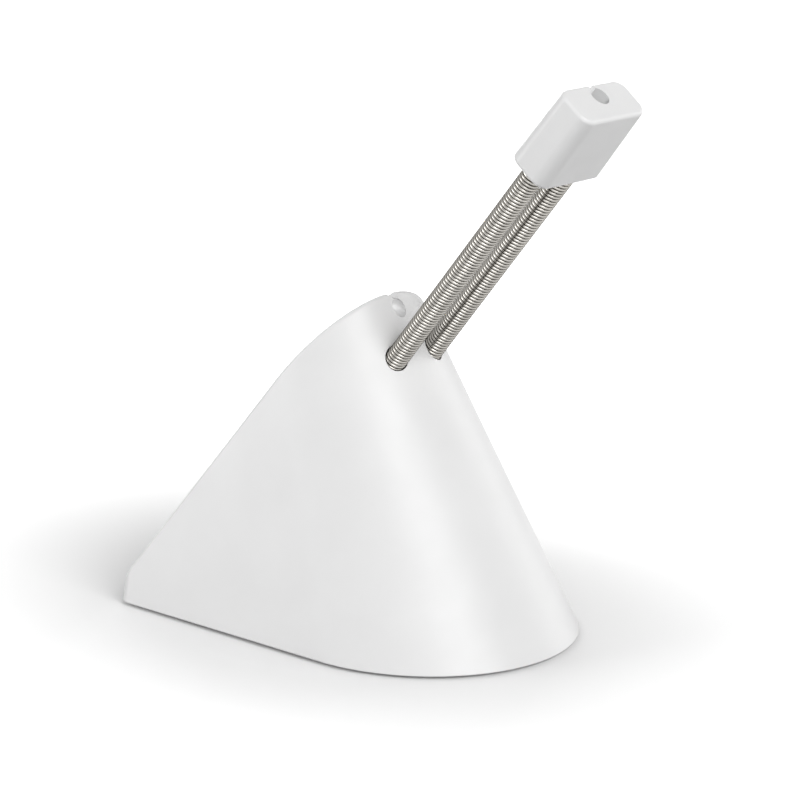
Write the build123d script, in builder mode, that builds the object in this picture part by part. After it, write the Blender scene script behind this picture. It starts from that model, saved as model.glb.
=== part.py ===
# Mouse bungee: a weighted wedge-shaped base, an arm of two close-wound springs and a cable clip.
# Millimetres, +Z up. The arm leans towards -Y and everything is symmetric about X = 0.
# The origin is on the desk, below the point where the round nose's leaning axis meets the lower edge.
import math
import os

from build123d import *

os.makedirs("parts", exist_ok=True)

# Tapered form of the base, heights counted from its lower edge
nose_radius = 32.42  # of the round nose, square to its axis where the axis meets the lower edge
nose_lean = 20.75  # degrees that the nose's axis leans back
nose_taper = 10.2  # half angle of the nose's cone
back_length = 57.5  # nose axis to the back wall, along the lower edge
back_wall_height = 4.65
back_slope = 52.6  # degrees from the desk
wall = 2.4
ridge_chamfer = 1.15
back_corner_radius = 3.0
ceiling_drop = 10.5  # solid depth under the ridge, round the cable notch

# Cable notch in the ridge
notch_radius = 1.85
notch_drop = 3.7  # hole centre below the sharp ridge
notch_slit = 0.9
notch_flare = 1.1  # half width of the slit where it opens at the ridge
notch_flare_depth = 2.6

# Springs
spring_diameter = 4.92
wire_diameter = 0.78
spring_spacing = 11.74
arm_lean = 39.66  # degrees from upright
arm_exit_rise = 55.2  # where the springs leave the front wall, up along the nose's axis
arm_length = 56.65  # free springs, from the front wall to the clip
spring_hole_clearance = 0.25
grip_clearance = 0.1
coil_sides = 8
coil_groove = 0.3
coil_hidden = 3.0  # length of the coils inside the front wall
spring_tail = 26.0  # length inside the base

# Cable clip
clip_width = 20.5  # at the springs
clip_depth = 10.1  # at the springs
clip_length = 18.45
clip_draft = 1.15  # degrees that the walls lean in towards the free end
clip_corner_radius = 2.9
clip_end_chamfer = 0.5
clip_socket_depth = 12.0
clip_socket_clearance = 0.1
channel_radius = 2.15
channel_offset = 1.45  # channel centre behind the plane of the springs
channel_slit = 1.5
channel_flare = 0.6
channel_rim = 0.35

# Saddle and clamp for the spring tails
saddle_depth = 11.0  # saddle starts this far down the tails
saddle_width = 25.0
saddle_stop = 1.6  # wall that the tails end against
clamp_gap = 0.4  # between the saddle and the clamp bar
clamp_thickness = 4.6
clamp_edge = 0.8

# Underside
pad_thickness = 1.2
pad_proud = 0.6  # how far the pad stands below the shell
pad_inset = 4.0
cover_thickness = 2.2
cover_rim = 1.3  # shell wall left round the cover
cover_clearance = 0.15
boss_radius = 3.2
boss_height = 15.0
boss_spacing = 50.0  # of the two at the back corners
boss_back_gap = 9.7  # from those two to the back wall
boss_nose_gap = 14.0  # from the third to the nose's tip

# Ballast, which fills the floor between the bosses
ballast_boss_gap = 0.8
ballast_back_gap = 12.0
ballast_thickness = 7.0
ballast_edge = 0.6
ballast_corner = 4.0
ballast_nose_share = 0.95  # of half its width, for its two front corners

# Screws
screw_radius = 1.3
screw_head_radius = 2.5
screw_head_height = 1.2
screw_bite = 7.0  # thread length in the piece that is screwed into
screw_hole_clearance = 0.2
screw_fit = 0.02  # between the thread and its pilot hole
head_clearance = 0.15  # round a screw's head

# Places worked out from the sizes above
edge_height = pad_proud
lean = math.radians(nose_lean)
taper = math.radians(nose_taper)
side_taper = math.asin(math.sin(taper) / math.cos(lean))  # leaves the sides parallel to Y
side_splay = math.atan(math.tan(side_taper) * math.sin(lean))  # the sides, seen along the nose's axis
front_tangent = math.tan(lean + taper)
nose_length = nose_radius * (math.cos(lean) + math.sin(lean) * front_tangent)
slope_tangent = math.tan(math.radians(back_slope))
slope_normal = Vector(0, math.sin(math.radians(back_slope)), math.cos(math.radians(back_slope)))
ridge_run = nose_length + back_length + back_wall_height / slope_tangent
ridge_height = ridge_run / (front_tangent + 1 / slope_tangent)
notch_height = edge_height + ridge_height - notch_drop
cover_bottom = pad_thickness
cover_top = cover_bottom + cover_thickness
rebate_height = cover_top - edge_height
ceiling_height = ridge_height - ceiling_drop
half_spacing = spring_spacing / 2
spring_radius = spring_diameter / 2
boss_back = back_length - boss_back_gap
boss_front = boss_nose_gap - nose_length
boss_places = [(-boss_spacing / 2, boss_back), (boss_spacing / 2, boss_back), (0, boss_front)]
ballast_back = back_length - ballast_back_gap
ballast_front = boss_front + boss_radius + ballast_boss_gap
ballast_width = boss_spacing - 2 * (boss_radius + ballast_boss_gap)

# Underside of the cover, its Z towards the desk and its Y towards the back
underside = Plane(origin=(0, 0, cover_bottom), x_dir=(-1, 0, 0), z_dir=(0, 0, -1))

# Nose plane: square to the nose's axis at the lower edge, its Z up along the axis, its Y towards the back
nose_plane = Plane(
    origin=(0, 0, edge_height),
    x_dir=(1, 0, 0),
    z_dir=(0, math.sin(lean), math.cos(lean)),
)

# Arm plane: origin where the springs leave the front wall, its Z along the arm, its Y towards the back
exit_radius = nose_radius - arm_exit_rise * math.tan(taper)
arm_plane = Plane(
    origin=nose_plane.from_local_coords((0, -math.sqrt(exit_radius**2 - half_spacing**2), arm_exit_rise)),
    x_dir=(1, 0, 0),
    z_dir=(0, -math.sin(math.radians(arm_lean)), math.cos(math.radians(arm_lean))),
)

# Outer face of the clamp bar, its Z away from the saddle and its Y along the arm
clamp_face = Plane(
    origin=arm_plane.from_local_coords((0, -clamp_gap - clamp_thickness, -(saddle_depth + spring_tail) / 2)),
    x_dir=(-1, 0, 0),
    z_dir=-arm_plane.y_dir,
)


def tapered_block(low, high, inset):
    # Round-nosed form between two heights over the lower edge, inside the outer walls by inset,
    # drawn below the base, drafted up the nose's axis, then cut off and its back corners rounded
    radius = nose_radius + nose_length * math.tan(taper) - inset / math.cos(taper)
    flank_x = radius * math.cos(side_splay)
    flank_y = -radius * math.sin(side_splay)
    back_y = nose_length + back_length
    back_x = flank_x + (back_y - flank_y) * math.tan(side_splay)
    with BuildPart() as block:
        with BuildSketch(nose_plane.offset(-nose_length)):
            with BuildLine():
                ThreePointArc((-flank_x, flank_y), (0, -radius), (flank_x, flank_y))
                Polyline((flank_x, flank_y), (back_x, back_y), (-back_x, back_y), (-flank_x, flank_y))
            make_face()
        extrude(amount=nose_length + ridge_height, taper=nose_taper)
        split(bisect_by=Plane.XY.offset(edge_height + low), keep=Keep.TOP)
        split(bisect_by=Plane.XY.offset(edge_height + high), keep=Keep.BOTTOM)
        split(bisect_by=Plane.XZ.offset(inset - back_length), keep=Keep.TOP)
        back_edges = block.faces().sort_by(Axis.Y)[-1].edges().sort_by(Axis.X)
        fillet([back_edges[0], back_edges[-1]], back_corner_radius)
    return block.part


def slope_plane(inset):
    corner = Vector(0, back_length, edge_height + back_wall_height)
    return Plane(origin=corner - slope_normal * inset, x_dir=(1, 0, 0), z_dir=slope_normal)


def on_slope(edges):
    plane = slope_plane(0)
    return edges.filter_by(lambda edge: abs(plane.to_local_coords(edge @ 0.5).Z) < 0.01)


# Hollow of the base: the inside form less the pieces of the moulding that stand in it
with BuildPart() as hollow:
    add(tapered_block(rebate_height, ceiling_height, wall))
    split(bisect_by=slope_plane(wall), keep=Keep.BOTTOM)
    with BuildSketch(Plane.XY.offset(cover_top)):
        with Locations(*boss_places):
            Circle(boss_radius)
    extrude(amount=boss_height, mode=Mode.SUBTRACT)
    with BuildSketch(arm_plane.offset(-saddle_depth)):
        Rectangle(saddle_width, ridge_height, align=(Align.CENTER, Align.MIN))
    extrude(amount=-(spring_tail - saddle_depth + saddle_stop), mode=Mode.SUBTRACT)

# Base shell: outside form, its ridge eased, then hollowed, rebated for the cover and drilled
with BuildPart() as base_shell:
    add(tapered_block(0, ridge_height + wall, 0))
    split(bisect_by=slope_plane(0), keep=Keep.BOTTOM)
    chamfer(on_slope(base_shell.edges()), ridge_chamfer)
    add(hollow.part, mode=Mode.SUBTRACT)
    add(tapered_block(0, rebate_height, cover_rim), mode=Mode.SUBTRACT)
    with BuildSketch(Plane.XZ.offset(-back_length)):
        with Locations((0, notch_height)):
            Circle(notch_radius)
            Rectangle(notch_slit, ridge_height, align=(Align.CENTER, Align.MIN))
        with BuildLine():
            Polyline(
                (0, notch_height + notch_drop - notch_flare_depth),
                (notch_flare, notch_height + notch_drop),
                (-notch_flare, notch_height + notch_drop),
                close=True,
            )
        make_face()
    extrude(amount=back_length + nose_length, mode=Mode.SUBTRACT)
    with BuildSketch(arm_plane.offset(nose_radius)):
        with GridLocations(spring_spacing, 0, 2, 1):
            Circle(spring_radius + spring_hole_clearance)
    extrude(amount=-(nose_radius + saddle_depth), mode=Mode.SUBTRACT)
    with BuildSketch(arm_plane):
        with GridLocations(spring_spacing, 0, 2, 1):
            Circle(spring_radius + grip_clearance)
    extrude(amount=-(spring_tail + grip_clearance), mode=Mode.SUBTRACT)
    with BuildSketch(clamp_face):
        Circle(screw_radius + screw_fit)
    extrude(amount=-(clamp_thickness + clamp_gap + screw_bite + screw_fit), mode=Mode.SUBTRACT)
    with BuildSketch(Plane.XY.offset(cover_top)):
        with Locations(*boss_places):
            Circle(screw_radius + screw_fit)
    extrude(amount=screw_bite + screw_fit, mode=Mode.SUBTRACT)

base_shell.part.label = "base_shell"
export_step(base_shell.part, "parts/base_shell.step")

# Left spring: a ridge for each turn of wire between plain ends, and the bore that the coils leave
spring_axis = Plane(
    origin=arm_plane.from_local_coords((-half_spacing, 0, 0)),
    x_dir=(1, 0, 0),
    z_dir=arm_plane.z_dir,
)
turns = round((arm_length + coil_hidden) / wire_diameter)
turn_length = (arm_length + coil_hidden) / turns
root_radius = spring_radius - coil_groove
spring_top = arm_length + clip_socket_depth - grip_clearance

with BuildPart() as left_spring:
    with BuildSketch(spring_axis.offset(-spring_tail)):
        RegularPolygon(root_radius, coil_sides)
    for turn in range(turns):
        turn_start = turn * turn_length - coil_hidden
        with BuildSketch(spring_axis.offset(turn_start)):
            RegularPolygon(root_radius, coil_sides)
        with BuildSketch(spring_axis.offset(turn_start + turn_length / 2)):
            RegularPolygon(spring_radius, coil_sides)
    with BuildSketch(spring_axis.offset(arm_length)):
        RegularPolygon(root_radius, coil_sides)
    with BuildSketch(spring_axis.offset(spring_top)):
        RegularPolygon(root_radius, coil_sides)
    loft(ruled=True)
    with BuildSketch(spring_axis.offset(-spring_tail)):
        Circle(spring_radius - wire_diameter)
    extrude(amount=spring_tail + spring_top, mode=Mode.SUBTRACT)

left_spring.part.label = "left_spring"
export_step(left_spring.part, "parts/left_spring.step")

with BuildPart() as right_spring:
    mirror(left_spring.part, about=Plane.YZ)

right_spring.part.label = "right_spring"
export_step(right_spring.part, "parts/right_spring.step")

# Cable clip: rounded block on the end of the springs, with a keyhole channel for the cable
clip_plane = arm_plane.offset(arm_length)
clip_top = clip_plane.offset(clip_length)
clip_axis = Axis(clip_plane.origin, clip_plane.z_dir)
draft = math.radians(clip_draft)
along_back = clip_plane.z_dir * math.cos(draft) - clip_plane.y_dir * math.sin(draft)

with BuildPart() as cable_clip:
    with BuildSketch(clip_plane):
        RectangleRounded(clip_width, clip_depth, clip_corner_radius)
    extrude(amount=clip_length, taper=clip_draft)
    clip_ends = cable_clip.faces().sort_by(clip_axis)
    chamfer(clip_ends[0].edges() + clip_ends[-1].edges(), clip_end_chamfer)
    with BuildSketch(clip_plane):
        with Locations((0, channel_offset)):
            Circle(channel_radius)
            Rectangle(channel_slit, clip_depth, align=(Align.CENTER, Align.MIN))
    extrude(amount=clip_length, mode=Mode.SUBTRACT)
    with BuildSketch(clip_plane):
        with Locations((0, clip_depth / 2)):
            Trapezoid(
                channel_slit + 2 * channel_flare,
                channel_flare,
                135,
                rotation=180,
                align=(Align.CENTER, Align.MIN),
            )
    extrude(amount=clip_length / math.cos(draft), dir=along_back, mode=Mode.SUBTRACT)
    with BuildSketch(clip_plane):
        with GridLocations(spring_spacing, 0, 2, 1):
            Circle(spring_radius + clip_socket_clearance)
    extrude(amount=clip_socket_depth, mode=Mode.SUBTRACT)
    with BuildSketch(clip_top):
        with Locations((0, channel_offset)):
            Circle(channel_radius + channel_rim)
    extrude(amount=-channel_rim, taper=45, mode=Mode.SUBTRACT)

cable_clip.part.label = "cable_clip"
export_step(cable_clip.part, "parts/cable_clip.step")

# Spring clamp: grooved bar that holds the tails in the saddle
clamp_length = spring_tail - saddle_depth

with BuildPart() as spring_clamp:
    with BuildSketch(arm_plane.offset(-spring_tail)):
        with Locations((0, -clamp_gap)):
            Rectangle(saddle_width, clamp_thickness, align=(Align.CENTER, Align.MAX))
    extrude(amount=clamp_length)
    chamfer(spring_clamp.faces().sort_by(Axis(clamp_face.origin, clamp_face.z_dir))[-1].edges(), clamp_edge)
    with BuildSketch(arm_plane.offset(-spring_tail)):
        with GridLocations(spring_spacing, 0, 2, 1):
            Circle(spring_radius + grip_clearance)
    extrude(amount=clamp_length, mode=Mode.SUBTRACT)
    with Locations(clamp_face):
        CounterBoreHole(
            screw_radius + screw_hole_clearance,
            screw_head_radius + head_clearance,
            screw_head_height,
            depth=clamp_thickness,
        )

spring_clamp.part.label = "spring_clamp"
export_step(spring_clamp.part, "parts/spring_clamp.step")

# Bottom cover: drops into the shell's rebate, parallel to its leaning wall
with BuildPart() as bottom_cover:
    add(tapered_block(cover_bottom - edge_height, rebate_height, cover_rim + cover_clearance))
    with Locations(underside):
        with Locations(*boss_places):
            CounterBoreHole(
                screw_radius + screw_hole_clearance,
                screw_head_radius + head_clearance,
                screw_head_height,
                depth=cover_thickness,
            )

bottom_cover.part.label = "bottom_cover"
export_step(bottom_cover.part, "parts/bottom_cover.step")

# Ballast: round-nosed steel plate bonded onto the cover
with BuildPart() as ballast_weight:
    with BuildSketch(Plane.XY.offset(cover_top)) as plate:
        with Locations((0, ballast_back)):
            Rectangle(ballast_width, ballast_back - ballast_front, align=(Align.CENTER, Align.MAX))
        fillet(plate.vertices().group_by(Axis.Y)[-1], ballast_corner)
        fillet(plate.vertices().group_by(Axis.Y)[0], ballast_nose_share * ballast_width / 2)
    extrude(amount=ballast_thickness)
    chamfer(ballast_weight.faces().sort_by(Axis.Z)[-1].edges(), ballast_edge)

ballast_weight.part.label = "ballast_weight"
export_step(ballast_weight.part, "parts/ballast_weight.step")

# Foot pad: rubber sheet glued under the cover
pad_outline = tapered_block(-edge_height, rebate_height, pad_inset).faces().sort_by(Axis.Z)[0]

with BuildPart() as foot_pad:
    extrude(pad_outline, amount=pad_thickness, dir=(0, 0, 1))

foot_pad.part.label = "foot_pad"
export_step(foot_pad.part, "parts/foot_pad.step")


def screw(length):
    # Pan-head screw with its head's face at the origin and its point towards -Z
    with BuildPart() as shape:
        with BuildSketch(Plane.XZ):
            with BuildLine():
                Polyline(
                    (0, 0),
                    (screw_head_radius, 0),
                    (screw_head_radius, -screw_head_height),
                    (screw_radius, -screw_head_height),
                    (screw_radius, -length),
                    (0, -length),
                    close=True,
                )
            make_face()
        revolve(axis=Axis.Z)
    return shape.part


# Screw that pulls the clamp up, and the three that hold the cover
with BuildPart() as clamp_screw:
    with Locations(clamp_face):
        add(screw(clamp_thickness + clamp_gap + screw_bite))

clamp_screw.part.label = "clamp_screw"
export_step(clamp_screw.part, "parts/clamp_screw.step")

with BuildPart() as cover_screws:
    with Locations(underside):
        with Locations(*boss_places):
            add(screw(cover_thickness + screw_bite))

cover_screws.part.label = "cover_screws"
export_step(cover_screws.part, "parts/cover_screws.step")
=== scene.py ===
import math

import bmesh
import bpy
from mathutils import Matrix, Vector


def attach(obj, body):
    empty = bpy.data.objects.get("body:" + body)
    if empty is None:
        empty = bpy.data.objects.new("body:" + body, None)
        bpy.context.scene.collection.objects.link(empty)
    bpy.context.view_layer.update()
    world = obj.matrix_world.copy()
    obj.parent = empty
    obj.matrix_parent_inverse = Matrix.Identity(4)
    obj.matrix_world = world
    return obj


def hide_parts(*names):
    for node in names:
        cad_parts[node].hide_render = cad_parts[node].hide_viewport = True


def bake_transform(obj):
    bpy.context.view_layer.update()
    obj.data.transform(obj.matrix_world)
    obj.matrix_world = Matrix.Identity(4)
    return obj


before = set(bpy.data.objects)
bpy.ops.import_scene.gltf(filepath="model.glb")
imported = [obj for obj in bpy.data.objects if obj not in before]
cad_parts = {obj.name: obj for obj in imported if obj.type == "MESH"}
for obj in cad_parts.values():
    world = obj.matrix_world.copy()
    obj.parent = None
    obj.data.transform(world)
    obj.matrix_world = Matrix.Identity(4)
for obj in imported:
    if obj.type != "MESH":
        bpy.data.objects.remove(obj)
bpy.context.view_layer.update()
print("frame loaded:", ", ".join(sorted(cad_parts)))

scene = bpy.context.scene
scene.view_settings.view_transform = "Standard"


# mesh helpers

meshing = {
    "mergeDist": 1e-6, "cutDist": 1e-7,
    "smoothAngle": 35,  # edges sharper than this stay crisp
    "rimAngle": 30,  # edges sharper than this count as rims of a cut
    "roundSteps": 6, "rimSteps": 3, "barSides": 48,
    "past": 0.002,  # how far a cutting tool reaches beyond what it cuts
}
upright = Matrix.Rotation(math.radians(90), 4, "X")  # stands an outline up, facing the front


def vertsOf(geom):
    # the vertices among an operator's results
    return [item for item in geom if isinstance(item, bmesh.types.BMVert)]


def startOutline(bm, place):
    return bmesh.ops.create_vert(bm, co=place)["vert"][0]


def lineTo(bm, vert, place):
    # one straight run of an outline
    new = bmesh.ops.extrude_vert_indiv(bm, verts=[vert])["verts"][0]
    new.co = place
    return new


def arcTo(bm, vert, centre, degrees, steps):
    # one round run of an outline, in its XY plane
    swept = bmesh.ops.spin(
        bm, geom=[vert], cent=centre, axis=(0, 0, 1), angle=math.radians(degrees), steps=steps
    )
    return vertsOf(swept["geom_last"])[0]


def closeOutline(bm):
    # joins the last point to the first and fills the outline
    bmesh.ops.remove_doubles(bm, verts=bm.verts, dist=meshing["mergeDist"])
    return bmesh.ops.contextual_create(bm, geom=bm.edges[:])["faces"][0]


def pullFace(bm, face, travel):
    # extrudes a face along travel into a closed solid
    pulled = bmesh.ops.extrude_face_region(bm, geom=[face])["geom"]
    bmesh.ops.translate(bm, vec=travel, verts=vertsOf(pulled))
    bmesh.ops.recalc_face_normals(bm, faces=bm.faces)


def cutOff(bm, place, normal):
    # removes what lies beyond a plane and closes the cut, returns the new face
    cut = bmesh.ops.bisect_plane(
        bm, geom=bm.verts[:] + bm.edges[:] + bm.faces[:], dist=meshing["cutDist"],
        plane_co=place, plane_no=normal, clear_outer=True,
    )
    rim = [item for item in cut["geom_cut"] if isinstance(item, bmesh.types.BMEdge)]
    return bmesh.ops.contextual_create(bm, geom=rim)["faces"][0]


def roundEdges(bm, edges, width, steps, kind="OFFSET"):
    bmesh.ops.bevel(
        bm, geom=edges, offset=width, offset_type=kind, segments=steps, profile=0.5,
        affect="EDGES", clamp_overlap=True, material=-1,
    )


def shadeSmooth(mesh, angle=meshing["smoothAngle"]):
    mesh.shade_smooth()
    mesh.set_sharp_from_angle(angle=math.radians(angle))


def makeObject(name, bm, angle=meshing["smoothAngle"]):
    mesh = bpy.data.meshes.new(name)
    bm.to_mesh(mesh)
    bm.free()
    shadeSmooth(mesh, angle)
    piece = bpy.data.objects.new(name, mesh)
    scene.collection.objects.link(piece)
    return piece


def makeBar(name, place, radius, low, high):
    # round bar along the Z of place, for a hole or a boss
    bm = bmesh.new()
    middle = Matrix.Translation((0, 0, (low + high) / 2))
    bmesh.ops.create_cone(
        bm, cap_ends=True, segments=meshing["barSides"], radius1=radius, radius2=radius,
        depth=high - low, matrix=place @ middle,
    )
    return makeObject(name, bm)


def cutWith(piece, tools):
    # takes each tool's solid out of the piece, then throws the tools away
    for tool in tools:
        cut = piece.modifiers.new("cut", "BOOLEAN")
        cut.operation = "DIFFERENCE"
        cut.solver = "EXACT"
        cut.object = tool
    bpy.context.view_layer.update()
    ready = piece.evaluated_get(bpy.context.evaluated_depsgraph_get())
    old = piece.data
    piece.data = bpy.data.meshes.new_from_object(ready)
    piece.modifiers.clear()
    bpy.data.meshes.remove(old)
    shadeSmooth(piece.data)
    for tool in tools:
        bpy.data.objects.remove(tool)


def softenRims(piece, pick, width):
    # rounds the sharp edges that the cuts left, where pick says so
    bm = bmesh.new()
    bm.from_mesh(piece.data)
    bmesh.ops.remove_doubles(bm, verts=bm.verts, dist=meshing["mergeDist"])
    rimAngle = math.radians(meshing["rimAngle"])
    sharp = [edge for edge in bm.edges if edge.is_manifold and edge.calc_face_angle() > rimAngle]
    rims = [edge for edge in sharp if pick((edge.verts[0].co + edge.verts[1].co) / 2)]
    roundEdges(bm, rims, width, meshing["rimSteps"])
    bmesh.ops.recalc_face_normals(bm, faces=bm.faces)
    bm.to_mesh(piece.data)
    bm.free()
    shadeSmooth(piece.data)
    even = piece.modifiers.new("evenShading", "WEIGHTED_NORMAL")  # broad faces keep their own shading
    even.keep_sharp = True
    print(piece.name, "rims rounded:", len(rims))


# material helpers

noiseDetail = {"tone": 3.0, "sheen": 4.0, "grain": 2.0}
noiseSpan = (0.3, 0.7)  # the part of the noise's range that two tones spread over


def startMaterial(name):
    mat = bpy.data.materials.new(name)
    mat.use_nodes = True
    return mat, mat.node_tree, mat.node_tree.nodes["Principled BSDF"]


def addNoise(tree, scale, detail):
    # noise on object coordinates, scale in lumps per metre
    coords = tree.nodes.new("ShaderNodeTexCoord")
    noise = tree.nodes.new("ShaderNodeTexNoise")
    noise.inputs["Scale"].default_value = scale
    noise.inputs["Detail"].default_value = detail
    tree.links.new(coords.outputs["Object"], noise.inputs["Vector"])
    return noise.outputs["Fac"]


def addRamp(tree, source, low, high):
    # spreads noise over two tones
    ramp = tree.nodes.new("ShaderNodeValToRGB")
    for stop, place, tone in zip(ramp.color_ramp.elements, noiseSpan, (low, high)):
        stop.position = place
        stop.color = (*tone, 1)
    tree.links.new(source, ramp.inputs["Fac"])
    return ramp.outputs["Color"]


def addBump(tree, shader, source, strength, depth):
    bump = tree.nodes.new("ShaderNodeBump")
    bump.inputs["Strength"].default_value = strength
    bump.inputs["Distance"].default_value = depth
    tree.links.new(source, bump.inputs["Height"])
    tree.links.new(bump.outputs["Normal"], shader.inputs["Normal"])


def finish(spec):
    # one finish from its settings: two tones, two roughnesses and a grain
    mat, tree, shader = startMaterial(spec["name"])
    edge = spec.get("edgeTint", 1.0)
    shader.inputs["Metallic"].default_value = spec.get("metal", 0.0)
    shader.inputs["Specular Tint"].default_value = (edge, edge, edge, 1)
    tone = addNoise(tree, spec["toneScale"], noiseDetail["tone"])
    tree.links.new(addRamp(tree, tone, spec["dark"], spec["light"]), shader.inputs["Base Color"])
    sheen = addNoise(tree, spec["sheenScale"], noiseDetail["sheen"])
    smooth, rough = spec["rough"]
    tree.links.new(addRamp(tree, sheen, (smooth,) * 3, (rough,) * 3), shader.inputs["Roughness"])
    grain = addNoise(tree, spec["grainScale"], noiseDetail["grain"])
    addBump(tree, shader, grain, spec["grain"], spec["grainDepth"])
    return mat


whitePlastic = finish({
    "name": "satinWhitePlastic",
    "dark": (0.79, 0.79, 0.79), "light": (0.82, 0.82, 0.82), "toneScale": 60,
    "rough": (0.34, 0.42), "sheenScale": 300,
    "grain": 0.06, "grainScale": 2600, "grainDepth": 0.00004,
})
blackPlastic = finish({
    "name": "blackMoulding",
    "dark": (0.018, 0.018, 0.02), "light": (0.03, 0.03, 0.033), "toneScale": 90,
    "rough": (0.45, 0.6), "sheenScale": 400,
    "grain": 0.25, "grainScale": 3000, "grainDepth": 0.00005,
})
springSteel = finish({
    "name": "drawnSpringWire", "metal": 1.0, "edgeTint": 0.0,
    "dark": (0.35, 0.337, 0.314), "light": (0.423, 0.408, 0.381), "toneScale": 500,
    "rough": (0.14, 0.22), "sheenScale": 1500,
    "grain": 0.05, "grainScale": 6000, "grainDepth": 0.00001,
})
screwSteel = finish({
    "name": "zincPlate", "metal": 1.0,
    "dark": (0.52, 0.53, 0.55), "light": (0.63, 0.63, 0.63), "toneScale": 700,
    "rough": (0.25, 0.4), "sheenScale": 1200,
    "grain": 0.1, "grainScale": 5000, "grainDepth": 0.00001,
})
ballastSteel = finish({
    "name": "millScaleSteel", "metal": 0.85,
    "dark": (0.11, 0.115, 0.125), "light": (0.24, 0.24, 0.245), "toneScale": 120,
    "rough": (0.4, 0.65), "sheenScale": 200,
    "grain": 0.3, "grainScale": 900, "grainDepth": 0.00008,
})
padRubber = finish({
    "name": "padRubber",
    "dark": (0.016, 0.016, 0.017), "light": (0.03, 0.03, 0.031), "toneScale": 150,
    "rough": (0.7, 0.85), "sheenScale": 500,
    "grain": 0.5, "grainScale": 1800, "grainDepth": 0.0001,
})
print("materials made")


# base shell

shell = {
    "noseRadius": 0.03242, "noseLean": 20.75, "noseTaper": 10.2,  # cone of the nose, as in the CAD
    "noseSteps": 128,
    "backLength": 0.0575, "backWall": 0.00465, "backSlope": 52.6,
    "edgeHeight": 0.0006,
    "blockLonger": 1.5, "blockShrink": 0.5,  # the block before its back and top are cut off
    "cornerRound": 0.003, "ridgeRound": 0.0018, "lowerRound": 0.0004,
    "coverRim": 0.0013, "rebate": 0.0028,
    "notchRadius": 0.00185, "notchDrop": 0.0037, "notchSlit": 0.0009, "notchSteps": 40,
    "notchBack": 0.04, "notchFront": -0.02,
    "ridgeEase": 0.0008,  # how far the rounded ridge lies under the sharp one
    "veeWidth": 0.0036, "veeDepth": 0.00105,  # where the slit opens at the ridge
    "notchRim": 0.0002, "rimZone": (0.00222, 0.00592),  # edges this near and this far down are eased
    "springHole": 0.00266, "holeReach": 0.02, "tailPlay": 0.0001,
    "wall": 0.0024, "ceilingDrop": 0.0105,  # the moulding is solid round the notch
    "bossRadius": 0.0032, "bossHeight": 0.015, "bossSpacing": 0.05,
    "bossBackGap": 0.0097, "bossNoseGap": 0.014,
    "saddleWidth": 0.025, "saddleStart": 0.011, "saddleStop": 0.0016,
    "pilotRadius": 0.00132, "pilotDepth": 0.00702,
}
lean = math.radians(shell["noseLean"])
taper = math.radians(shell["noseTaper"])
slope = math.radians(shell["backSlope"])
sideTaper = math.asin(math.sin(taper) / math.cos(lean))
noseAxis = Vector((0, math.sin(lean), math.cos(lean)))
noseRear = Vector((0, math.cos(lean), -math.sin(lean)))
noseFoot = Vector((0, 0, shell["edgeHeight"]))
apex = noseFoot + noseAxis * shell["noseRadius"] / math.tan(taper)  # every wall runs to this point
noseFront = shell["noseRadius"] * (math.cos(lean) + math.sin(lean) * math.tan(lean + taper))
noseBack = shell["noseRadius"] * (math.cos(lean) + math.sin(lean) * math.tan(lean - taper))
halfWidth = shell["noseRadius"] * math.cos(taper) / math.cos(sideTaper)
slopeFoot = Vector((0, shell["backLength"], shell["edgeHeight"] + shell["backWall"]))
slopeNormal = Vector((0, math.sin(slope), math.cos(slope)))
ridgeRun = noseFront + shell["backLength"] + shell["backWall"] / math.tan(slope)
ridgeHeight = shell["edgeHeight"] + ridgeRun / (math.tan(lean + taper) + 1 / math.tan(slope))
coverTop = shell["edgeHeight"] + shell["rebate"]
bossBack = shell["backLength"] - shell["bossBackGap"]
bossFront = shell["bossNoseGap"] - noseFront
bossPlaces = [(-shell["bossSpacing"] / 2, bossBack), (shell["bossSpacing"] / 2, bossBack), (0, bossFront)]

# the arm's line, which the shell's holes, the clip and the springs follow
arm = {
    "lean": 39.66, "exitRise": 0.0552, "free": 0.05665, "spacing": 0.01174,
    "tail": 0.026, "diameter": 0.00492,
    "wire": 0.00078, "wireShare": 0.47,  # pitch of the turns, and the wire's radius as a share of it
    "lowerTurns": 58, "upperTurns": 62,
    "wireSides": 10, "turnSteps": 26, "smoothAngle": 60,
    "bendMargin": 0.0005,
}
armLean = math.radians(arm["lean"])
armDir = Vector((0, -math.sin(armLean), math.cos(armLean)))
armBack = Vector((0, math.cos(armLean), math.sin(armLean)))
exitRadius = shell["noseRadius"] - arm["exitRise"] * math.tan(taper)
exitDepth = math.sqrt(exitRadius ** 2 - (arm["spacing"] / 2) ** 2)
armExit = noseFoot + noseAxis * arm["exitRise"] - noseRear * exitDepth
armMatrix = Matrix.Translation(armExit) @ Matrix((
    (1, 0, 0, 0),
    (0, armBack.y, armDir.y, 0),
    (0, armBack.z, armDir.z, 0),
    (0, 0, 0, 1),
))


def springPlace(side):
    # where a spring's own axis starts, side is -1 or 1
    return armMatrix @ Matrix.Translation((side * arm["spacing"] / 2, 0, 0))


def makeHoleTools(name, radius, low, high):
    # a round bar for each spring, along the arm
    return [makeBar(name, springPlace(side), radius, low, high) for side in (-1, 1)]


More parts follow.
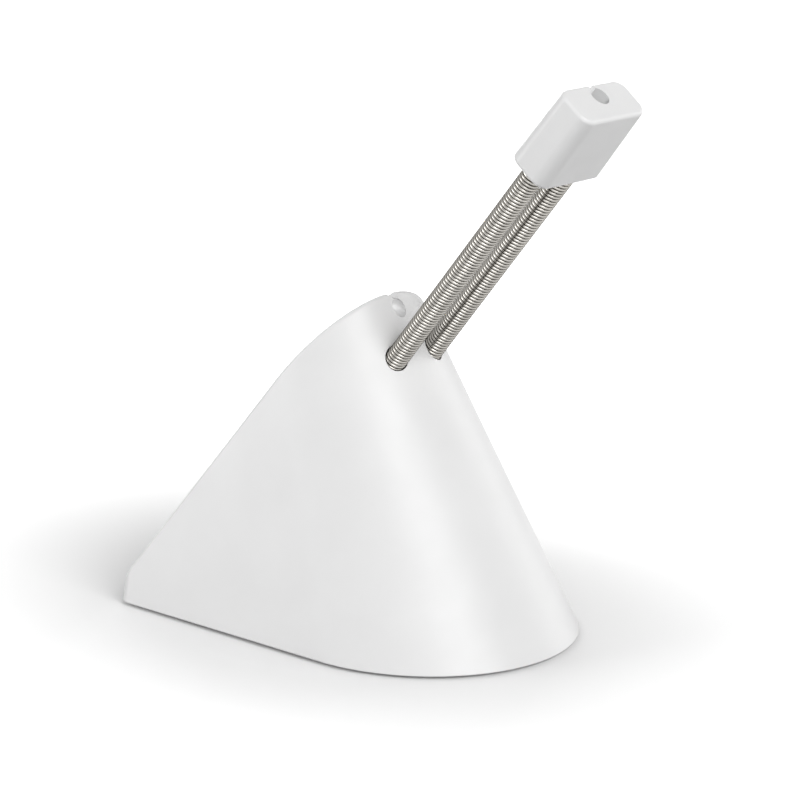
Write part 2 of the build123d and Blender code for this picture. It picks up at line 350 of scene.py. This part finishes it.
def startWedge(wall):
    # round-nosed block that leans to the apex, inside the outer walls by wall
    # returns its sloping face too
    bm = bmesh.new()
    first = startOutline(bm, (halfWidth, 0, 0))
    vert = arcTo(bm, first, (0, 0, 0), -180, shell["noseSteps"])
    stretch = (noseFront + noseBack) / 2 / halfWidth
    bmesh.ops.scale(bm, vec=(1, stretch, 1), verts=bm.verts)
    bmesh.ops.translate(bm, vec=(0, (noseBack - noseFront) / 2, shell["edgeHeight"]), verts=bm.verts)
    farBack = shell["backLength"] * shell["blockLonger"]
    vert = lineTo(bm, vert, (-halfWidth, farBack, shell["edgeHeight"]))
    vert = lineTo(bm, vert, (halfWidth, farBack, shell["edgeHeight"]))
    lineTo(bm, vert, first.co.copy())
    foot = closeOutline(bm)

    # draw the outline up towards the apex, then cut the back wall and the slope
    pulled = bmesh.ops.extrude_face_region(bm, geom=[foot])["geom"]
    shrink = (shell["blockShrink"],) * 3
    bmesh.ops.scale(bm, vec=shrink, space=Matrix.Translation(-apex), verts=vertsOf(pulled))
    bmesh.ops.recalc_face_normals(bm, faces=bm.faces)
    drawIn = 1 - wall / math.cos(taper) / shell["noseRadius"]
    bmesh.ops.scale(bm, vec=(drawIn,) * 3, space=Matrix.Translation(-noseFoot), verts=bm.verts)
    back = cutOff(bm, (0, shell["backLength"] - wall, 0), (0, 1, 0))
    corners = sorted(back.edges, key=lambda edge: abs(edge.verts[0].co.x + edge.verts[1].co.x))[-2:]
    roundEdges(bm, corners, shell["cornerRound"], meshing["roundSteps"])
    top = cutOff(bm, slopeFoot - slopeNormal * wall, slopeNormal)
    return bm, top


def lowestFace(bm):
    return min(bm.faces, key=lambda face: face.calc_center_median().z)


def makeShell():
    bm, top = startWedge(0)
    roundEdges(bm, top.edges[:], shell["ridgeRound"], meshing["roundSteps"], "WIDTH")
    roundEdges(bm, lowestFace(bm).edges[:], shell["lowerRound"], meshing["rimSteps"])

    # rebate under the shell for the cover
    foot = lowestFace(bm)
    rim = shell["coverRim"] - shell["lowerRound"]
    bmesh.ops.inset_region(bm, faces=[foot], thickness=rim, use_even_offset=True)
    rise = shell["rebate"] / (apex.z - shell["edgeHeight"])
    sunk = bmesh.ops.extrude_face_region(bm, geom=[foot])["geom"]
    bmesh.ops.scale(bm, vec=(1 - rise,) * 3, space=Matrix.Translation(-apex), verts=vertsOf(sunk))
    bmesh.ops.delete(bm, geom=[foot], context="FACES_ONLY")
    bmesh.ops.recalc_face_normals(bm, faces=bm.faces)
    return makeObject("baseShell", bm)


def makeNotchTool():
    # keyhole that opens in a vee, drawn upright and pulled from back to front
    bm = bmesh.new()
    radius, slit = shell["notchRadius"], shell["notchSlit"] / 2
    neck = math.sqrt(radius ** 2 - slit ** 2)
    brim = shell["notchDrop"] - shell["ridgeEase"]
    veeFoot = brim - shell["veeDepth"]
    spread = (shell["veeWidth"] / 2 - slit) / shell["veeDepth"]
    above = brim + meshing["past"]
    wide = slit + spread * (above - veeFoot)
    first = startOutline(bm, (-slit, neck, 0))
    around = 360 - 2 * math.degrees(math.atan2(slit, neck))
    vert = arcTo(bm, first, (0, 0, 0), around, shell["notchSteps"])
    for place in ((slit, veeFoot), (wide, above), (-wide, above), (-slit, veeFoot)):
        vert = lineTo(bm, vert, (*place, 0))
    lineTo(bm, vert, first.co.copy())
    pullFace(bm, closeOutline(bm), (0, 0, shell["notchBack"] - shell["notchFront"]))
    place = Matrix.Translation((0, shell["notchBack"], ridgeHeight - shell["notchDrop"]))
    bmesh.ops.transform(bm, matrix=place @ upright, verts=bm.verts)
    bmesh.ops.recalc_face_normals(bm, faces=bm.faces)
    return makeObject("notchTool", bm)


def makeSaddle():
    # block that takes the spring tails
    bm = bmesh.new()
    low, high = -arm["tail"] - shell["saddleStop"], -shell["saddleStart"]
    reach = ridgeHeight  # far enough to pass the slope
    size = Matrix.Diagonal((shell["saddleWidth"], reach, high - low, 1))
    place = armMatrix @ Matrix.Translation((0, reach / 2, (low + high) / 2))
    bmesh.ops.create_cube(bm, size=1, matrix=place @ size)
    return makeObject("saddle", bm)


def makeHollowTool():
    # the inside of the shell, less the bosses and the saddle that stand in it
    bm = startWedge(shell["wall"])[0]
    cutOff(bm, (0, 0, ridgeHeight - shell["ceilingDrop"]), (0, 0, 1))
    cutOff(bm, (0, 0, coverTop - meshing["past"]), (0, 0, -1))
    bmesh.ops.recalc_face_normals(bm, faces=bm.faces)
    hollow = makeObject("hollowTool", bm)
    stands = [makeSaddle()]
    for x, y in bossPlaces:
        place = Matrix.Translation((x, y, coverTop))
        stands.append(makeBar("boss", place, shell["bossRadius"], 0, shell["bossHeight"]))
    cutWith(hollow, stands)
    return hollow


def makePilotTools():
    # holes that the screws bite into, three in the bosses and one in the saddle
    places = [Matrix.Translation((x, y, coverTop)) for x, y in bossPlaces]
    tailMiddle = -(shell["saddleStart"] + arm["tail"]) / 2
    places.append(armMatrix @ Matrix.Translation((0, 0, tailMiddle)) @ upright.inverted())
    start, depth = -meshing["past"], shell["pilotDepth"]
    return [makeBar("pilotTool", place, shell["pilotRadius"], start, depth) for place in places]


def atNotch(spot):
    # rim of the notch in the ridge
    near, deep = shell["rimZone"]
    return abs(spot.x) < near and spot.z > ridgeHeight - deep


tailEnd = -arm["tail"] - shell["tailPlay"]
baseShell = makeShell()
cutWith(baseShell, [makeHollowTool(), *makePilotTools()])
cutWith(baseShell, [
    makeNotchTool(),
    *makeHoleTools("springHoleTool", shell["springHole"], tailEnd, shell["holeReach"]),
])
softenRims(baseShell, atNotch, shell["notchRim"])
baseShell.data.materials.append(whitePlastic)
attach(baseShell, "base")
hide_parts("base_shell")
print("base shell made:", len(baseShell.data.polygons), "faces")


# cable clip

clip = {
    "width": 0.0205, "depth": 0.0101, "length": 0.01845, "draft": 1.15,
    "cornerRound": 0.0029, "cornerSteps": 16, "endRound": 0.0008,
    "channelRadius": 0.00215, "channelOffset": 0.00145, "channelSteps": 56,
    "slit": 0.0015, "lip": 0.0007, "lipSteps": 8,
    "mouthRound": 0.00035,
    "mouthDepth": 0.00088, "mouthHalf": 0.003, "mouthFront": -0.002,  # where edges are eased
    "socketRadius": 0.00256, "socketDepth": 0.012,
}
clipDraw = math.tan(math.radians(clip["draft"])) * clip["length"]  # how far each side leans in
toArm = armMatrix.inverted()


def makeClip():
    # rounded block, drawn square to the arm and pulled along it
    bm = bmesh.new()
    halfW, halfD = clip["width"] / 2, clip["depth"] / 2
    inW, inD = halfW - clip["cornerRound"], halfD - clip["cornerRound"]
    vert = startOutline(bm, (-inW, halfD, 0))
    sides = (
        ((inW, halfD), (inW, inD)),  # end of the straight run, middle of the corner after it
        ((halfW, -inD), (inW, -inD)),
        ((-inW, -halfD), (-inW, -inD)),
        ((-halfW, inD), (-inW, inD)),
    )
    for end, centre in sides:
        vert = lineTo(bm, vert, (*end, 0))
        vert = arcTo(bm, vert, (*centre, 0), -90, clip["cornerSteps"])
    pullFace(bm, closeOutline(bm), (0, 0, clip["length"]))
    top = [vert for vert in bm.verts if vert.co.z > clip["length"] / 2]
    bmesh.ops.scale(bm, vec=(1 - clipDraw / halfW, 1 - clipDraw / halfD, 1), verts=top)
    ends = sorted(bm.faces, key=lambda face: abs(face.normal.z))[-2:]
    rims = [edge for face in ends for edge in face.edges]
    roundEdges(bm, rims, clip["endRound"], meshing["roundSteps"])
    bmesh.ops.transform(bm, matrix=armMatrix @ Matrix.Translation((0, 0, arm["free"])), verts=bm.verts)
    return makeObject("cableClip", bm)


def makeChannelTool():
    # round channel with a slit to the clip's back, its lips rounded
    bm = bmesh.new()
    top, past = clip["depth"] / 2, meshing["past"]
    lip, slit = clip["lip"], clip["slit"] / 2
    middle, radius = clip["channelOffset"], clip["channelRadius"]
    neck = middle + math.sqrt(radius ** 2 - slit ** 2)
    first = startOutline(bm, (-slit, neck, 0))
    around = 360 - 2 * math.degrees(math.asin(slit / radius))
    vert = arcTo(bm, first, (0, middle, 0), around, clip["channelSteps"])
    vert = lineTo(bm, vert, (slit, top - lip, 0))
    vert = arcTo(bm, vert, (slit + lip, top - lip, 0), -90, clip["lipSteps"])
    for place in ((slit + lip, top + past), (-slit - lip, top + past), (-slit - lip, top)):
        vert = lineTo(bm, vert, (*place, 0))
    vert = arcTo(bm, vert, (-slit - lip, top - lip, 0), -90, clip["lipSteps"])
    lineTo(bm, vert, first.co.copy())
    pullFace(bm, closeOutline(bm), (0, 0, clip["length"] + 2 * past))

    # the lips lean in with the clip's back
    overNeck = neck + meshing["mergeDist"]
    lips = [vert for vert in bm.verts if vert.co.z > clip["length"] and vert.co.y > overNeck]
    bmesh.ops.translate(bm, vec=(0, -clipDraw, 0), verts=lips)
    place = armMatrix @ Matrix.Translation((0, 0, arm["free"] - past))
    bmesh.ops.transform(bm, matrix=place, verts=bm.verts)
    bmesh.ops.recalc_face_normals(bm, faces=bm.faces)
    return makeObject("channelTool", bm)


def atMouth(spot):
    # rim of the channel and the slit at the clip's free end
    local = toArm @ spot
    fromEnd = arm["free"] + clip["length"] - local.z
    nearHole = abs(local.x) < clip["mouthHalf"] and local.y > clip["mouthFront"]
    return nearHole and fromEnd < clip["mouthDepth"]


socketStart, socketEnd = arm["free"] - meshing["past"], arm["free"] + clip["socketDepth"]
cableClip = makeClip()
cutWith(cableClip, [
    makeChannelTool(),
    *makeHoleTools("socketTool", clip["socketRadius"], socketStart, socketEnd),
])
softenRims(cableClip, atMouth, clip["mouthRound"])
cableClip.data.materials.append(whitePlastic)
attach(cableClip, "head")
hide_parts("cable_clip")
print("cable clip made:", len(cableClip.data.polygons), "faces")


# springs, with their settings in arm above

def makeCoil(name, side, low, turns):
    # one turn of wire, then copies of it stacked along the arm
    bm = bmesh.new()
    pitch = arm["wire"]
    section = Matrix.Translation(((arm["diameter"] - pitch) / 2, 0, low)) @ upright
    bmesh.ops.create_circle(
        bm, cap_ends=False, segments=arm["wireSides"], radius=pitch * arm["wireShare"], matrix=section
    )
    bmesh.ops.spin(
        bm, geom=bm.verts[:] + bm.edges[:], cent=(0, 0, 0), axis=(0, 0, 1),
        dvec=(0, 0, pitch / arm["turnSteps"]), angle=2 * math.pi, steps=arm["turnSteps"],
    )
    bmesh.ops.spin(
        bm, geom=bm.verts[:] + bm.edges[:] + bm.faces[:], cent=(0, 0, 0), axis=(0, 0, 1),
        dvec=(0, 0, pitch), angle=0, steps=turns - 1, use_duplicate=True,
    )
    bmesh.ops.remove_doubles(bm, verts=bm.verts, dist=meshing["mergeDist"])
    bmesh.ops.holes_fill(bm, edges=[edge for edge in bm.edges if edge.is_boundary])  # the wire's two ends
    bmesh.ops.recalc_face_normals(bm, faces=bm.faces)
    bmesh.ops.transform(bm, matrix=springPlace(side), verts=bm.verts)
    piece = makeObject(name, bm, arm["smoothAngle"])
    piece.data.materials.append(springSteel)
    return piece


armMiddle = arm["wire"] * arm["lowerTurns"] - arm["tail"]  # each spring is split here into its lower and upper coil
for side, node in ((-1, "left_spring"), (1, "right_spring")):
    word = node.split("_")[0]
    lower = makeCoil(word + "SpringLower", side, -arm["tail"], arm["lowerTurns"])
    upper = makeCoil(word + "SpringUpper", side, armMiddle, arm["upperTurns"])
    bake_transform(lower)
    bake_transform(upper)
    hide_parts(node)
    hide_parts(node)
    print(node, "wound:", len(lower.data.polygons) + len(upper.data.polygons), "faces")


# CAD nodes that show as they are

carried = {
    "bottom_cover": blackPlastic,
    "spring_clamp": blackPlastic,
    "foot_pad": padRubber,
    "ballast_weight": ballastSteel,
    "cover_screws": screwSteel,
    "clamp_screw": screwSteel,
}
for node, mat in carried.items():
    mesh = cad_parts[node].data
    mesh.materials.clear()
    mesh.materials.append(mat)
print("carried nodes dressed:", len(carried))


# stage and lights

stage = {
    "floorSize": 6.0, "floorSeen": 0.9, "floorBounce": 0.33, "floorRough": 0.9,
    "paintedShadeNear": (0.034, 0.03), "glowFar": (0.13, 0.9),  # distance from the middle and how white; the low glow near the object is painted shade round it
    # the painted shade round the object is an ellipse centred under it
    "paintedShadeMiddle": 0.0205, "paintedShadeSquash": 0.72,
    "sky": 0.2,
    "aim": (0, 0, 0.05), "lampAway": 1.8, "lampSize": 1.2,
    "lamps": {  # azimuth, elevation and watts, azimuth 0 is straight in front
        "front": (-15, 35, 19.3),
        "frontLow": (-45, 12, 8.4),
        "rightLow": (75, 12, 6.2),
        "backLeft": (-135, 12, 15.8),
        "backRight": (138, 14, 11.0),
    },
}


def towards(azimuth, elevation):
    # direction from the object to a lamp or the camera
    turn, rise = math.radians(azimuth), math.radians(elevation)
    return Vector((math.sin(turn) * math.cos(rise), -math.cos(turn) * math.cos(rise), math.sin(rise)))


def lookBack(away):
    # turns a lamp or the camera to face the object
    return (-away).to_track_quat("-Z", "Y").to_euler()


def seenDirectly(tree):
    # 1 for rays from the camera, in mirrors and through glass
    path = tree.nodes.new("ShaderNodeLightPath")
    seen = path.outputs["Is Camera Ray"]
    for kind in ("Is Glossy Ray", "Is Transmission Ray"):
        either = tree.nodes.new("ShaderNodeMath")
        either.operation = "MAXIMUM"
        tree.links.new(seen, either.inputs[0])
        tree.links.new(path.outputs[kind], either.inputs[1])
        seen = either.outputs["Value"]
    return seen


def mixTones(tree, factor, unseen, seen):
    mix = tree.nodes.new("ShaderNodeMix")
    mix.data_type = "RGBA"
    mix.inputs["A"].default_value = (unseen, unseen, unseen, 1)
    mix.inputs["B"].default_value = (seen, seen, seen, 1)
    tree.links.new(factor, mix.inputs["Factor"])
    return mix.outputs["Result"]


def glowWithPaintedShade(tree):
    # the floor glows white away from the object; close by the glow drops, which keeps its real shadow and
    # paints a pool of shade round it
    coords = tree.nodes.new("ShaderNodeTexCoord")
    place = tree.nodes.new("ShaderNodeMapping")
    place.inputs["Scale"].default_value = (1, stage["paintedShadeSquash"], 1)
    place.inputs["Location"].default_value = (0, -stage["paintedShadeMiddle"] * stage["paintedShadeSquash"], 0)
    away = tree.nodes.new("ShaderNodeVectorMath")
    away.operation = "LENGTH"
    spread = tree.nodes.new("ShaderNodeMapRange")
    spread.inputs["From Min"].default_value, spread.inputs["To Min"].default_value = stage["paintedShadeNear"]
    spread.inputs["From Max"].default_value, spread.inputs["To Max"].default_value = stage["glowFar"]
    seen = tree.nodes.new("ShaderNodeMath")
    seen.operation = "MULTIPLY"
    tree.links.new(coords.outputs["Object"], place.inputs["Vector"])
    tree.links.new(place.outputs["Vector"], away.inputs[0])
    tree.links.new(away.outputs["Value"], spread.inputs["Value"])
    tree.links.new(spread.outputs["Result"], seen.inputs[0])
    tree.links.new(seenDirectly(tree), seen.inputs[1])
    return seen.outputs["Value"]


def makeFloor():
    bm = bmesh.new()
    bmesh.ops.create_grid(bm, x_segments=1, y_segments=1, size=stage["floorSize"] / 2)
    floor = makeObject("floor", bm)
    mat, tree, shader = startMaterial("paleFloor")
    shader.inputs["Roughness"].default_value = stage["floorRough"]
    shader.inputs["Specular IOR Level"].default_value = 0.0
    tone = mixTones(tree, seenDirectly(tree), stage["floorBounce"], stage["floorSeen"])
    tree.links.new(tone, shader.inputs["Base Color"])
    shader.inputs["Emission Color"].default_value = (1, 1, 1, 1)
    # the glow is low near the object, a painted shade round it
    tree.links.new(glowWithPaintedShade(tree), shader.inputs["Emission Strength"])
    floor.data.materials.append(mat)


def makeWorld():
    world = bpy.data.worlds.new("studio")
    world.use_nodes = True
    tree = world.node_tree
    sky = tree.nodes["Background"]
    tree.links.new(mixTones(tree, seenDirectly(tree), stage["sky"], 1.0), sky.inputs["Color"])
    scene.world = world


def makeLamps():
    for name, (azimuth, elevation, watts) in stage["lamps"].items():
        lamp = bpy.data.lights.new(name, "AREA")
        lamp.shape = "DISK"
        lamp.size = stage["lampSize"]
        lamp.energy = watts
        holder = bpy.data.objects.new(name, lamp)
        away = towards(azimuth, elevation)
        holder.location = Vector(stage["aim"]) + away * stage["lampAway"]
        holder.rotation_euler = lookBack(away)
        scene.collection.objects.link(holder)


makeFloor()
makeWorld()
makeLamps()
print("stage lit by", len(stage["lamps"]), "lamps")


# camera

camera = {
    "azimuth": -49.19, "elevation": 14.79, "distance": 0.6,
    "target": (0.0063, 0.00898, 0.04676),
    "lens": 125.88, "sensor": 36, "clipStart": 0.01,
}


def makeCamera():
    away = towards(camera["azimuth"], camera["elevation"])
    lens = bpy.data.cameras.new("camera")
    lens.lens = camera["lens"]
    lens.sensor_width = camera["sensor"]
    lens.clip_start = camera["clipStart"]
    eye = bpy.data.objects.new("camera", lens)
    eye.location = Vector(camera["target"]) + away * camera["distance"]
    eye.rotation_euler = lookBack(away)
    scene.collection.objects.link(eye)
    scene.camera = eye


makeCamera()
print("camera set")
